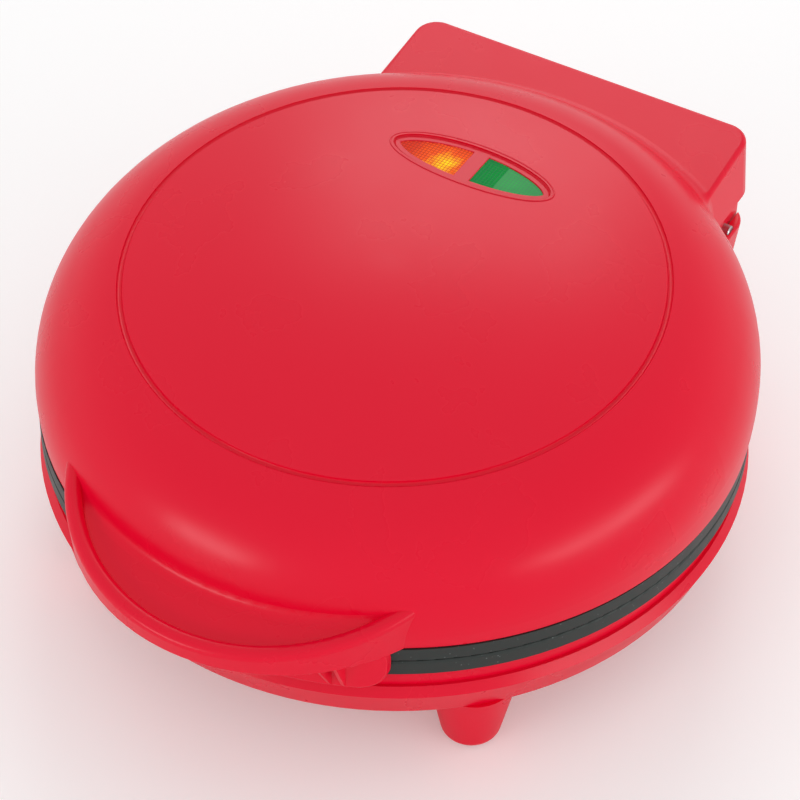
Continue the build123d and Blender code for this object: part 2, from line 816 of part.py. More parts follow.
# Indicator bezel: a raised oval rim, a dished face and two windows
bezel_top = dome_solid(-bezel_proud)
bezel_seat = dome_solid(-contact_gap / 2)
dish_surface = dome_solid(bezel_dish)
lens_surface = dome_solid(bezel_dish - lens_crown)
with BuildPart() as bezel_dish_cut:
    with BuildSketch(bezel_plane):
        add(dish_outline)
    extrude(amount=bezel_rim, both=True)
    add(dish_surface, mode=Mode.SUBTRACT)
with BuildPart() as bezel_collar:
    with BuildSketch(bezel_plane):
        add(bezel_outline)
    extrude(amount=bezel_rim, both=True)
    add(bezel_seat, mode=Mode.SUBTRACT)
with BuildPart() as lamp_bezel:
    with BuildSketch(bezel_plane.offset(-bezel_thickness)):
        add(bezel_body_outline)
    extrude(amount=bezel_thickness + bezel_rim)
    add(bezel_collar.part)
    add(bezel_top, mode=Mode.INTERSECT)
    add(bezel_dish_cut.part, mode=Mode.SUBTRACT)
    with BuildSketch(bezel_plane):
        add(window_outline)
    extrude(amount=2 * bezel_thickness, both=True, mode=Mode.SUBTRACT)
finish_piece(lamp_bezel.part, "lamp_bezel")


# Two lenses that snap in from below, each with a flange under the bezel
for lens_name, keep_side in (("amber_lens", Keep.BOTTOM), ("green_lens", Keep.TOP)):
    with BuildPart() as lens:
        with BuildSketch(bezel_plane.offset(-bezel_thickness - contact_gap)):
            add(lens_outline)
        extrude(amount=bezel_thickness + bezel_rim)
        add(lens_surface, mode=Mode.INTERSECT)
        with BuildSketch(bezel_plane.offset(-bezel_thickness - contact_gap)):
            add(lens_flange_outline)
        extrude(amount=-lens_flange)
        split(bisect_by=Plane.YZ, keep=keep_side)
    finish_piece(lens.part, lens_name)


# Neon lamps behind the lenses and the holder that keeps them there
lamp_x = (crossbar_width / 2 + bezel_half_length - window_inset) / 2
lamp_level = -bezel_thickness - contact_gap - lens_flange - running_gap - lamp_r
holder_top_level = lamp_level - lamp_r - contact_gap
holder_half_length = bezel_half_length - bezel_lip - slip_fit
for lamp_name, side in (("amber_lamp", -1), ("green_lamp", 1)):
    lamp_end = bezel_plane.from_local_coords((side * (lamp_x - lamp_length / 2), 0, lamp_level))
    with BuildPart() as lamp:
        with BuildSketch(Plane(origin=lamp_end, x_dir=(0, 1, 0), z_dir=(side, 0, 0))):
            Circle(lamp_r)
        extrude(amount=lamp_length)
        fillet(lamp.edges(), lamp_r / 4)
    finish_piece(lamp.part, lamp_name)
with BuildPart() as lamp_holder:
    with BuildSketch(bezel_plane.offset(holder_top_level)):
        Rectangle(2 * holder_half_length, holder_width)
    extrude(amount=-holder_thickness)
    with BuildSketch(bezel_plane.offset(holder_top_level)):
        with GridLocations(2 * holder_half_length - holder_thickness, 0, 2, 1):
            Rectangle(holder_thickness, holder_leg_width)
    extrude(amount=-bezel_thickness - contact_gap / 2 - holder_top_level)
finish_piece(lamp_holder.part, "lamp_holder")


def heater_solid(centre_z):
    """A horseshoe heater with an insulating bead and a terminal pin on each leg."""
    front_y = heater_bend_y - heater_leg_x
    with BuildPart() as heater:
        with BuildLine(Plane.XY.offset(centre_z)) as path:
            Line((-heater_leg_x, heater_leg_rear), (-heater_leg_x, heater_bend_y))
            ThreePointArc(
                (-heater_leg_x, heater_bend_y), (0, front_y), (heater_leg_x, heater_bend_y)
            )
            Line((heater_leg_x, heater_bend_y), (heater_leg_x, heater_leg_rear))
        with BuildSketch(Plane(origin=path.line @ 0, z_dir=path.line % 0)):
            Circle(heater_tube_r)
        sweep()
        legs_end = Plane(
            origin=(0, heater_leg_rear, centre_z), x_dir=(1, 0, 0), z_dir=(0, 1, 0)
        )
        for radius, length in ((bead_r, bead_length), (heater_pin_r, heater_pin_length)):
            with BuildSketch(legs_end):
                with GridLocations(2 * heater_leg_x, 0, 2, 1):
                    Circle(radius)
            extrude(amount=length)
    return heater.part


def reflector_solid(heater_z, up, open_x):
    """A thin steel dish behind a heater; open_x, if any, gets a round hole."""
    face = heater_z + up * (heater_tube_r + contact_gap)
    with BuildPart() as reflector:
        with BuildSketch(Plane(origin=(0, 0, face), x_dir=(1, 0, 0), z_dir=(0, 0, up))):
            Circle(reflector_r)
            if open_x:
                with Locations((open_x, up * sensor_y)):
                    Circle(thermostat_r + 3 * running_gap, mode=Mode.SUBTRACT)
        extrude(amount=reflector_thickness)
        with BuildSketch(Plane(origin=(0, 0, face), x_dir=(1, 0, 0), z_dir=(0, 0, up))):
            Circle(reflector_r)
            Circle(reflector_r - reflector_thickness, mode=Mode.SUBTRACT)
        extrude(amount=reflector_thickness - reflector_lip)
    return reflector.part


def fuse_solid(centre_z):
    """A thermal fuse lying along the plate, with its two leads."""
    with BuildPart() as fuse:
        for radius, length in ((fuse_r, fuse_length), (fuse_lead_r, fuse_length + 2 * fuse_lead)):
            with BuildSketch(Plane(origin=(-sensor_x, sensor_y, centre_z), z_dir=(0, 1, 0))):
                Circle(radius)
            extrude(amount=length / 2, both=True)
    return fuse.part


# Heaters against the pocket undersides, and the reflectors behind them
lower_heater_z = lower_pocket_z - contact_gap - heater_tube_r
upper_heater_z = upper_pocket_z + contact_gap + heater_tube_r
finish_piece(heater_solid(lower_heater_z), "lower_heater")
finish_piece(heater_solid(upper_heater_z), "upper_heater")
finish_piece(reflector_solid(lower_heater_z, -1, sensor_x), "lower_reflector")
finish_piece(reflector_solid(upper_heater_z, 1, 0), "upper_reflector")

# Thermal fuses and the thermostat, against the pocket undersides too
lower_fuse_z = lower_pocket_z - contact_gap - fuse_r
upper_fuse_z = upper_pocket_z + contact_gap + fuse_r
finish_piece(fuse_solid(lower_fuse_z), "lower_fuse")
finish_piece(fuse_solid(upper_fuse_z), "upper_fuse")
with BuildPart() as thermostat:
    with BuildSketch(Plane.XY.offset(lower_pocket_z - contact_gap)):
        with Locations((sensor_x, sensor_y)):
            Circle(thermostat_r)
    extrude(amount=-thermostat_height)
    chamfer(thermostat.edges().group_by(Axis.Z)[0], thermostat_r / 8)
finish_piece(thermostat.part, "thermostat")


def screw_set(places, head_z, up, grip):
    """Equal screws with their heads outward of head_z and shanks pointing up or down."""
    with BuildPart() as screws:
        with BuildSketch(Plane(origin=(0, 0, head_z), x_dir=(1, 0, 0), z_dir=(0, 0, up))):
            with places:
                Circle(screw_head_r)
        extrude(amount=-screw_head_height)
        with BuildSketch(Plane(origin=(0, 0, head_z), x_dir=(1, 0, 0), z_dir=(0, 0, up))):
            with places:
                Circle(screw_r - pin_seat)
        extrude(amount=grip)
    return screws.part


# Screws of the plates and of the cord clamp
lower_head_z = housing_z + head_recess + screw_head_height
upper_head_z = upper_bottom_z + screw_head_height
clamp_head_z = clamp_z + contact_gap / 2 + clamp_thickness
grip_end = screw_grip - running_gap
finish_piece(
    screw_set(screw_places, lower_head_z, 1, lower_post_z + grip_end - lower_head_z),
    "lower_plate_screws",
)
finish_piece(
    screw_set(screw_places, upper_head_z, 1, upper_post_z + grip_end - upper_head_z),
    "upper_plate_screws",
)
finish_piece(
    screw_set(Locations(*[(x, -y) for x, y in clamp_points]), clamp_head_z, -1,
              clamp_head_z - clamp_z + grip_end),
    "cord_clamp_screws",
)


# Bar that would hold a cord down, on its two posts
with BuildPart() as cord_clamp:
    with BuildSketch(Plane.XY.offset(clamp_z + contact_gap / 2)):
        with Locations((0, clamp_y)):
            RectangleRounded(clamp_length, clamp_width, clamp_post_r)
        with Locations(*clamp_points):
            Circle(screw_r + slip_fit, mode=Mode.SUBTRACT)
    extrude(amount=clamp_thickness)
finish_piece(cord_clamp.part, "cord_clamp")


# Bush in the rear wall, the way in for a cord
with BuildPart() as inlet_bush:
    with BuildSketch(inlet_plane):
        Circle(inlet_flange_r)
    extrude(amount=inlet_flange)
    with BuildSketch(inlet_plane):
        Circle(inlet_body_r)
    extrude(amount=-2 * wall)
    chamfer(inlet_bush.edges().sort_by(Axis.Y)[-1], inlet_flange / 3)
    with BuildSketch(inlet_plane.offset(inlet_flange)):
        Circle(inlet_bore_r)
    extrude(amount=-3 * wall - inlet_flange, mode=Mode.SUBTRACT)
finish_piece(inlet_bush.part, "inlet_bush")


# Terminal block on the floor of the hinge box, one screw hole for each way
block_way_x = [block_x + (way - (block_ways - 1) / 2) * block_way_pitch for way in range(block_ways)]
with BuildPart() as terminal_block:
    with BuildSketch(Plane.XY.offset(floor_z)):
        with Locations((block_x, block_y)):
            Rectangle(block_length, block_width)
    extrude(amount=block_height)
    with BuildSketch(Plane.XY.offset(floor_z + block_height)):
        with Locations(*[(x, block_y) for x in block_way_x]):
            Circle(block_screw_r)
    extrude(amount=-block_height / 2, mode=Mode.SUBTRACT)
finish_piece(terminal_block.part, "terminal_block")


def wire_run(points):
    """One insulated wire along a line of points with rounded corners."""
    with BuildPart() as run:
        with BuildLine() as path:
            FilletPolyline(*points, radius=wire_bend)
        with BuildSketch(Plane(origin=path.line @ 0, z_dir=path.line % 0)):
            Circle(wire_r)
        sweep()
    return run.part


# Wires of the base: both heater pins, the fuse and the thermostat to the block
pin_end_y = heater_leg_rear + heater_pin_length + contact_gap
fuse_end_y = sensor_y + fuse_length / 2 + fuse_lead + contact_gap
block_front_y = block_y - block_width / 2 - contact_gap
thermostat_z = lower_pocket_z - contact_gap - thermostat_height / 2
left_x, fuse_x, sensor_way_x, right_x = block_way_x
with BuildPart() as base_wires:
    add(wire_run([
        (-heater_leg_x, pin_end_y, lower_heater_z), (-heater_leg_x, outer_turn_y, lower_heater_z),
        (left_x, outer_arrive_y, lower_heater_z), (left_x, block_front_y, lower_heater_z),
    ]))
    add(wire_run([
        (-sensor_x, fuse_end_y, lower_fuse_z), (-sensor_x, inner_turn_y, lower_fuse_z),
        (fuse_x, inner_arrive_y, lower_fuse_z), (fuse_x, block_front_y, lower_fuse_z),
    ]))
    add(wire_run([
        (sensor_x, sensor_y + thermostat_r + contact_gap, thermostat_z),
        (sensor_x, inner_turn_y, thermostat_z),
        (sensor_way_x, inner_arrive_y, thermostat_z), (sensor_way_x, block_front_y, thermostat_z),
    ]))
    add(wire_run([
        (heater_leg_x, pin_end_y, lower_heater_z), (heater_leg_x, outer_turn_y, lower_heater_z),
        (right_x, outer_arrive_y, lower_heater_z), (right_x, block_front_y, lower_heater_z),
    ]))
finish_piece(base_wires.part, "base_wires")


# Wires of the lid: both heater pins to the lamps, and the fuse to one pin
lamp_side = bezel_plane.from_local_coords((lamp_x, lamp_r + contact_gap, lamp_level))
with BuildPart() as lid_wires:
    for side in (-1, 1):
        add(wire_run([
            (side * heater_leg_x, pin_end_y, upper_heater_z),
            (side * heater_leg_x, lid_rise_y, upper_heater_z),
            (side * heater_leg_x, lid_rise_y, upper_heater_z + lid_rise),
            (side * lamp_x, lamp_turn_y, lamp_side.Z - lamp_turn_drop),
            (side * lamp_side.X, lamp_side.Y, lamp_side.Z),
        ]))
    pin_side_x = heater_leg_x - heater_pin_r - contact_gap
    pin_side_y = heater_leg_rear + (bead_length + heater_pin_length) / 2
    add(wire_run([
        (-sensor_x, fuse_end_y, upper_fuse_z), (-sensor_x, lid_fuse_turn_y, upper_fuse_z),
        (-lid_fuse_turn_x, pin_side_y, upper_heater_z), (-pin_side_x, pin_side_y, upper_heater_z),
    ]))
finish_piece(lid_wires.part, "lid_wires")
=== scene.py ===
import math

import bmesh
import bpy
from bpy.props import FloatProperty, FloatVectorProperty, IntProperty
from bpy.types import Operator, Panel, PropertyGroup
from mathutils import Matrix, Vector


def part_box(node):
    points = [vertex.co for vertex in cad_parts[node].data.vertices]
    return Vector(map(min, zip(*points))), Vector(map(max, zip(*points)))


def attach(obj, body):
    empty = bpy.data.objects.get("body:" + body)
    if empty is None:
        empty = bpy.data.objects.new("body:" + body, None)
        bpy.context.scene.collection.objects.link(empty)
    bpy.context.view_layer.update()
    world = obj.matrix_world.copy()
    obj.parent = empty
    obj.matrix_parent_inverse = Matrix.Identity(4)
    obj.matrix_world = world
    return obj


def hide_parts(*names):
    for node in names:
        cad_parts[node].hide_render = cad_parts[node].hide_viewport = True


bl_info = {
    "name": "Omelette Maker",
    "version": (1, 0, 0),
    "blender": (4, 5, 0),
    "location": "View3D > Sidebar > Omelette Maker",
    "description": "Finishes a hinged omelette maker around its packed frame",
    "category": "Add Mesh",
}

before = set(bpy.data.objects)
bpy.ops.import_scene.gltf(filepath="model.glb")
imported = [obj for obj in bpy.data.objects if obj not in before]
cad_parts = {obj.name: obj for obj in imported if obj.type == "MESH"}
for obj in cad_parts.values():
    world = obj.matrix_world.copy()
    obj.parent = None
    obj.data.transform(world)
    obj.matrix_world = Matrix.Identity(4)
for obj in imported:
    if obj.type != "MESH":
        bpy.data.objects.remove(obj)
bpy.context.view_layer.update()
MM = 0.001
WHITE = (1.0, 1.0, 1.0, 1.0)

# Across the bezel's rim, width and rise in millimetres: rolled lip, sunk band, bead
RIM_STEPS = (
    (0.12, 0.14), (0.16, 0.03), (0.16, -0.05), (0.16, -0.18), (0.80, -0.60),
    (0.12, 0.12), (0.16, 0.02), (0.12, -0.14),
)

# Name, place and size in metres, and watts of each soft lamp
LAMPS = (
    ("lamp_rear", (-0.42, 0.92, 0.86), (0.56, 0.60), 2.7),
    ("lamp_front_left", (-0.36, -0.92, 0.20), (0.40, 0.18), 1.55),
    ("lamp_right", (0.98, -0.06, 0.20), (0.80, 0.13), 2.1),
)


# Colours and shader nodes

def linear(code):
    """An sRGB hex colour as a linear colour with full alpha."""
    channels = [int(code[k:k + 2], 16) / 255 for k in (0, 2, 4)]
    return (*[c / 12.92 if c <= 0.04045 else ((c + 0.055) / 1.055) ** 2.4 for c in channels], 1.0)


def connect(tree, node, inputs):
    """Sets each input of a node to a value, or links it to a socket."""
    for key, value in inputs.items():
        if isinstance(value, bpy.types.NodeSocket):
            tree.links.new(value, node.inputs[key])
        else:
            node.inputs[key].default_value = value


def add_node(tree, kind, inputs=None, output=0, **settings):
    """Adds one shader node with its settings, inputs and links, and gives one output of it."""
    node = tree.nodes.new(kind)
    for name, value in settings.items():
        setattr(node, name, value)
    connect(tree, node, inputs or {})
    return node.outputs[output]


def new_material(name, values):
    """A material with one Principled shader; gives the material, its tree and the shader."""
    material = bpy.data.materials.new(name)
    material.use_nodes = True
    tree = material.node_tree
    shader = tree.nodes["Principled BSDF"]
    connect(tree, shader, values)
    return material, tree, shader


def pattern_scale(size):
    """The Scale of a texture whose features are about size millimetres wide."""
    return 1 / (size * MM)


# Materials

def moulded_abs(name, first, second, roughness):
    """Glossy ABS from a polished mould: an even red, a wide soft shine and a faint orange peel.

    Its reflection is kept below a typical one, because the studio's white would grey the red.
    """
    material, tree, shader = new_material(name, {"IOR": 1.53, "Specular IOR Level": 0.22})
    point = add_node(tree, "ShaderNodeTexCoord", output="Object")
    flow = add_node(tree, "ShaderNodeTexNoise", {"Vector": point, "Scale": pattern_scale(71.4)})
    smear = add_node(tree, "ShaderNodeTexNoise", {
        "Vector": point, "Scale": pattern_scale(22.2), "Detail": 4.0,
    })
    peel = add_node(tree, "ShaderNodeTexNoise", {"Vector": point, "Scale": pattern_scale(1.43)})
    connect(tree, shader, {
        "Base Color": add_node(tree, "ShaderNodeMix", {
            0: flow, 6: first, 7: second,
        }, output=2, data_type="RGBA"),
        "Roughness": add_node(tree, "ShaderNodeMapRange", {
            "Value": smear, "From Min": 0.3, "From Max": 0.7, "To Min": roughness - 0.02,
            "To Max": roughness + 0.03,
        }),
        "Normal": add_node(tree, "ShaderNodeBump", {
            "Height": peel, "Strength": 0.05, "Distance": 0.08 * MM,
        }),
    })
    return material


def nonstick_coating():
    """Sprayed non-stick coating: near black with a green cast, fine pale flecks, a satin skin."""
    material, tree, shader = new_material("nonstick_coating", {"IOR": 1.42})
    point = add_node(tree, "ShaderNodeTexCoord", output="Object")
    fleck = add_node(tree, "ShaderNodeTexVoronoi", {
        "Vector": point, "Scale": pattern_scale(1.11),
    }, output="Distance")
    patch = add_node(tree, "ShaderNodeTexNoise", {"Vector": point, "Scale": pattern_scale(2.63)})
    share = add_node(tree, "ShaderNodeMath", {
        0: add_node(tree, "ShaderNodeMapRange", {
            "Value": fleck, "From Min": 0.10, "From Max": 0.22, "To Min": 1.0, "To Max": 0.0,
        }),
        1: add_node(tree, "ShaderNodeMapRange", {
            "Value": patch, "From Min": 0.54, "From Max": 0.62, "To Min": 0.0, "To Max": 1.0,
        }),
    }, operation="MULTIPLY")
    cloud = add_node(tree, "ShaderNodeTexNoise", {
        "Vector": point, "Scale": pattern_scale(33.3), "Detail": 3.0,
    })
    ground = add_node(tree, "ShaderNodeMix", {
        0: cloud, 6: linear("262C2A"), 7: linear("2F3633"),
    }, output=2, data_type="RGBA")
    satin = add_node(tree, "ShaderNodeTexNoise", {
        "Vector": point, "Scale": pattern_scale(8.33), "Detail": 4.0,
    })
    grain = add_node(tree, "ShaderNodeTexNoise", {
        "Vector": point, "Scale": pattern_scale(0.714), "Detail": 3.0,
    })
    connect(tree, shader, {
        "Base Color": add_node(tree, "ShaderNodeMix", {
            0: share, 6: ground, 7: linear("6E7673"),
        }, output=2, data_type="RGBA"),
        "Roughness": add_node(tree, "ShaderNodeMapRange", {
            "Value": satin, "From Min": 0.3, "From Max": 0.7, "To Min": 0.38, "To Max": 0.50,
        }),
        "Normal": add_node(tree, "ShaderNodeBump", {
            "Height": grain, "Strength": 0.18, "Distance": 0.06 * MM,
        }),
    })
    return material


def foot_rubber():
    """Soft dark rubber with a dull skin and fine dust in its pores."""
    material, tree, shader = new_material("foot_rubber", {"IOR": 1.5})
    point = add_node(tree, "ShaderNodeTexCoord", output="Object")
    dust = add_node(tree, "ShaderNodeTexNoise", {
        "Vector": point, "Scale": pattern_scale(1.11), "Detail": 4.0,
    })
    skin = add_node(tree, "ShaderNodeTexNoise", {"Vector": point, "Scale": pattern_scale(3.33)})
    pores = add_node(tree, "ShaderNodeTexNoise", {
        "Vector": point, "Scale": pattern_scale(0.455), "Detail": 3.0,
    })
    connect(tree, shader, {
        "Base Color": add_node(tree, "ShaderNodeMix", {
            0: dust, 6: linear("242424"), 7: linear("343332"),
        }, output=2, data_type="RGBA"),
        "Roughness": add_node(tree, "ShaderNodeMapRange", {
            "Value": skin, "From Min": 0.3, "From Max": 0.7, "To Min": 0.72, "To Max": 0.88,
        }),
        "Normal": add_node(tree, "ShaderNodeBump", {
            "Height": pores, "Strength": 0.35, "Distance": 0.08 * MM,
        }),
    })
    return material


def brushed_metal(name, first, second, roughness, stretch):
    """Bright metal with fine drawing marks along the axis that stretch keeps small."""
    material, tree, shader = new_material(name, {"Metallic": 1.0})
    point = add_node(tree, "ShaderNodeTexCoord", output="Object")
    drawn = add_node(tree, "ShaderNodeMapping", {"Vector": point, "Scale": stretch})
    marks = add_node(tree, "ShaderNodeTexNoise", {
        "Vector": drawn, "Scale": pattern_scale(16.7), "Detail": 5.0, "Roughness": 0.65,
    })
    connect(tree, shader, {
        "Base Color": add_node(tree, "ShaderNodeMix", {
            0: marks, 6: linear(first), 7: linear(second),
        }, output=2, data_type="RGBA"),
        "Roughness": add_node(tree, "ShaderNodeMapRange", {
            "Value": marks, "From Min": 0.3, "From Max": 0.7, "To Min": roughness - 0.06,
            "To Max": roughness + 0.10,
        }),
        "Normal": add_node(tree, "ShaderNodeBump", {
            "Height": marks, "Strength": 0.08, "Distance": 0.05 * MM,
        }),
    })
    return material


def heat_tinted_steel():
    """Heater sheath: grey steel with brown and blue annealing colours in soft patches."""
    material, tree, shader = new_material("heat_tinted_steel", {"Metallic": 1.0})
    point = add_node(tree, "ShaderNodeTexCoord", output="Object")
    tint = add_node(tree, "ShaderNodeTexNoise", {
        "Vector": point, "Scale": pattern_scale(18.2), "Detail": 3.0,
    })
    ramp = add_node(tree, "ShaderNodeValToRGB", {"Fac": tint})
    stops = ramp.node.color_ramp.elements
    stops[0].position, stops[0].color = 0.32, linear("6B6763")
    stops[1].position, stops[1].color = 0.70, linear("5A6070")
    stops.new(0.52).color = linear("7A6450")
    scale = add_node(tree, "ShaderNodeTexNoise", {
        "Vector": point, "Scale": pattern_scale(2.5), "Detail": 4.0,
    })
    pits = add_node(tree, "ShaderNodeTexNoise", {"Vector": point, "Scale": pattern_scale(1.11)})
    connect(tree, shader, {
        "Base Color": ramp,
        "Roughness": add_node(tree, "ShaderNodeMapRange", {
            "Value": scale, "From Min": 0.3, "From Max": 0.7, "To Min": 0.34, "To Max": 0.52,
        }),
        "Normal": add_node(tree, "ShaderNodeBump", {
            "Height": pits, "Strength": 0.15, "Distance": 0.08 * MM,
        }),
    })
    return material


def filled_plastic(name, first, second, roughness, grain):
    """Mineral-filled technical plastic: matt, with a fine even grain."""
    material, tree, shader = new_material(name, {"IOR": 1.5})
    point = add_node(tree, "ShaderNodeTexCoord", output="Object")
    filler = add_node(tree, "ShaderNodeTexNoise", {
        "Vector": point, "Scale": pattern_scale(0.909), "Detail": 4.0,
    })
    matt = add_node(tree, "ShaderNodeTexNoise", {"Vector": point, "Scale": pattern_scale(4.0)})
    rough = add_node(tree, "ShaderNodeTexNoise", {
        "Vector": point, "Scale": pattern_scale(0.667), "Detail": 3.0,
    })
    connect(tree, shader, {
        "Base Color": add_node(tree, "ShaderNodeMix", {
            0: filler, 6: linear(first), 7: linear(second),
        }, output=2, data_type="RGBA"),
        "Roughness": add_node(tree, "ShaderNodeMapRange", {
            "Value": matt, "From Min": 0.3, "From Max": 0.7, "To Min": roughness - 0.05,
            "To Max": roughness + 0.07,
        }),
        "Normal": add_node(tree, "ShaderNodeBump", {
            "Height": rough, "Strength": grain, "Distance": 0.08 * MM,
        }),
    })
    return material


def braided_sleeve():
    """Glass-fibre sleeve over the wires: a pale braid of crossing yarns, with painted shade that
    darkens the valleys between them.

    The yarns lie 1.5 mm apart, coarser than real ones, so that they still show.
    """
    material, tree, shader = new_material("braided_glass_sleeve", {"IOR": 1.5})
    yarns = add_node(tree, "ShaderNodeTexWave", {
        "Vector": add_node(tree, "ShaderNodeTexCoord", output="Object"),
        "Scale": 0.2 * math.pi / (1.496 * MM), "Distortion": 1.5, "Detail": 2.0,
    }, output="Fac", bands_direction="DIAGONAL")
    # Painted shade: the colour darkens where the yarns' bump is low, in the valleys between the
    # yarns
    connect(tree, shader, {
        "Base Color": add_node(tree, "ShaderNodeMix", {
            0: yarns, 6: linear("B9B29F"), 7: linear("DAD5C6"),
        }, output=2, data_type="RGBA"),
        "Roughness": add_node(tree, "ShaderNodeMapRange", {
            "Value": yarns, "To Min": 0.85, "To Max": 0.68,
        }),
        "Normal": add_node(tree, "ShaderNodeBump", {
            "Height": yarns, "Strength": 0.5, "Distance": 0.15 * MM,
        }),
    })
    return material


def neon_glass():
    """Small neon lamp: clear glass with a warm glow of uneven depth inside."""
    material, tree, shader = new_material("neon_glass", {
        "IOR": 1.52, "Roughness": 0.06, "Transmission Weight": 0.55, "Emission Strength": 0.6,
    })
    depth = add_node(tree, "ShaderNodeTexNoise", {
        "Vector": add_node(tree, "ShaderNodeTexCoord", output="Object"),
        "Scale": pattern_scale(3.85),
    })
    glow = add_node(tree, "ShaderNodeMix", {
        0: depth, 6: linear("F08A3C"), 7: linear("FFC38A"),
    }, output=2, data_type="RGBA")
    connect(tree, shader, {"Base Color": glow, "Emission Color": glow})
    return material


def prism_plastic(name, codes, spot, reach, glow):
    """Tinted lens plastic with painted light: small prisms, and a painted glow with emission that
    is brightest over the lamp's spot.

    codes are the painted glow's colours at the spot, half way and at the edge, and the painted
    shade of the lines between prisms.
    """
    material, tree, shader = new_material(name, {
        "IOR": 1.49, "Roughness": 0.26, "Specular IOR Level": 0.14, "Emission Strength": glow,
    })
    point = add_node(tree, "ShaderNodeTexCoord", output="Object")
    # Painted glow: the colour, and the emission that follows it, is brightest at the lamp's spot
    # and fades out over reach
    away = add_node(tree, "ShaderNodeVectorMath", {
        0: point, 1: spot,
    }, output="Value", operation="DISTANCE")
    haze = add_node(tree, "ShaderNodeTexNoise", {"Vector": point, "Scale": pattern_scale(2.38)})
    share = add_node(tree, "ShaderNodeMath", {
        0: add_node(tree, "ShaderNodeMapRange", {"Value": away, "From Max": reach}),
        1: add_node(tree, "ShaderNodeMapRange", {
            "Value": haze, "From Min": 0.3, "From Max": 0.7, "To Min": -0.12, "To Max": 0.12,
        }),
    }, operation="ADD")
    ramp = add_node(tree, "ShaderNodeValToRGB", {"Fac": share})
    stops = ramp.node.color_ramp.elements
    stops[0].position, stops[0].color = 0.05, linear(codes[0])
    stops[1].position, stops[1].color = 1.0, linear(codes[2])
    stops.new(0.45).color = linear(codes[1])

    # The prism squares come from the mesh's own map, one square to a unit
    edge = add_node(tree, "ShaderNodeTexVoronoi", {
        "Vector": add_node(tree, "ShaderNodeUVMap", uv_map="prisms"), "Scale": 1.0,
        "Randomness": 0.0,
    }, output="Distance", distance="CHEBYCHEV", voronoi_dimensions="2D")
    # Painted shade: darker lines along the valleys between the prisms
    painted_valley_shade = add_node(tree, "ShaderNodeMapRange", {
        "Value": edge, "From Min": 0.28, "From Max": 0.48, "To Max": 0.7,
    })
    colour = add_node(tree, "ShaderNodeMix", {
        0: painted_valley_shade, 6: ramp, 7: linear(codes[3]),
    }, output=2, data_type="RGBA")
    connect(tree, shader, {"Base Color": colour, "Emission Color": colour})
    return material


class FinishSettings(PropertyGroup):
    """Colours and polish of the red mouldings."""

    shell: FloatVectorProperty(
        name="Shell", description="Red of the lid and the base", default=linear("EA002C"),
        size=4, subtype="COLOR",
    )
    shell_shade: FloatVectorProperty(
        name="Shell shade", description="Second tone of that red", default=linear("ED042F"),
        size=4, subtype="COLOR",
    )
    shell_roughness: FloatProperty(
        name="Shell roughness", description="Roughness of the shells' polish", default=0.28,
        subtype="FACTOR",
    )
    bezel: FloatVectorProperty(
        name="Bezel", description="Red of the indicator bezel", default=linear("E20028"),
        size=4, subtype="COLOR",
    )
    bezel_shade: FloatVectorProperty(
        name="Bezel shade", description="Second tone of that red", default=linear("E6032B"),
        size=4, subtype="COLOR",
    )
    bezel_roughness: FloatProperty(
        name="Bezel roughness", description="Roughness of the bezel's polish", default=0.27,
        subtype="FACTOR",
    )


class OMELETTE_OT_finishes(Operator):
    """Gives the carried nodes of the frame their finishes"""

    bl_idname = "omelette.finishes"
    bl_label = "Finishes of carried nodes"

    def execute(self, context):
        s = context.scene.omelette_finish
        steel = brushed_metal("drawn_steel", "A6A8A9", "BFC1C2", 0.30, (8, 1, 1))
        aluminium = brushed_metal("rolled_aluminium", "C3C5C6", "D4D6D7", 0.34, (1, 12, 1))
        red = moulded_abs("shell_gloss_abs", s.shell, s.shell_shade, s.shell_roughness)
        coating = nonstick_coating()
        tube = heat_tinted_steel()
        ceramic = filled_plastic("white_phenolic", "D9D4C6", "E3DFD3", 0.55, 0.2)
        black = filled_plastic("black_nylon", "1B1B1C", "262627", 0.50, 0.3)
        sleeve = braided_sleeve()
        glass = neon_glass()
        finishes = {
            "lid_cover": red, "base_housing": red, "foot_pads": foot_rubber(),
            "lower_plate": coating, "upper_plate": coating, "lower_heater": tube,
            "upper_heater": tube, "lower_reflector": aluminium, "upper_reflector": aluminium,
            "hinge_pins": steel, "thermostat": steel, "lower_fuse": steel, "upper_fuse": steel,
            "terminal_block": ceramic, "lamp_holder": ceramic, "cord_clamp": black,
            "inlet_bush": black, "base_wires": sleeve, "lid_wires": sleeve, "amber_lamp": glass,
            "green_lamp": glass,
        }
        for name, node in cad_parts.items():
            if name in finishes:
                node.data.materials.clear()
                node.data.materials.append(finishes[name])
        return {"FINISHED"}


# Meshes

def add_piece(bm, name, material, body, sharp=math.radians(32)):
    """Turns a bmesh into a smooth-shaded object that rides on a body."""
    bmesh.ops.recalc_face_normals(bm, faces=bm.faces)
    for face in bm.faces:
        face.smooth = True
    mesh = bpy.data.meshes.new(name)
    bm.to_mesh(mesh)
    bm.free()
    mesh.set_sharp_from_angle(angle=sharp)
    mesh.materials.append(material)
    piece = bpy.data.objects.new(name, mesh)
    bpy.context.scene.collection.objects.link(piece)
    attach(piece, body)
    return piece


def open_edges(bm):
    """The edges with a face on one side only."""
    return [edge for edge in bm.edges if edge.is_boundary]


def new_verts(made):
    """The vertices among the geometry that an extrusion made."""
    return [item for item in made if isinstance(item, bmesh.types.BMVert)]


def pull_out(bm, edges, scale, drop):
    """Extrudes a loop of edges, scales it about the Z axis and lowers it; gives the new edges."""
    made = bmesh.ops.extrude_edge_only(bm, edges=edges)["geom"]
    verts = new_verts(made)
    bmesh.ops.scale(bm, vec=(*scale, 1.0), verts=verts)
    bmesh.ops.translate(bm, vec=(0, 0, -drop), verts=verts)
    return [item for item in made if isinstance(item, bmesh.types.BMEdge)]


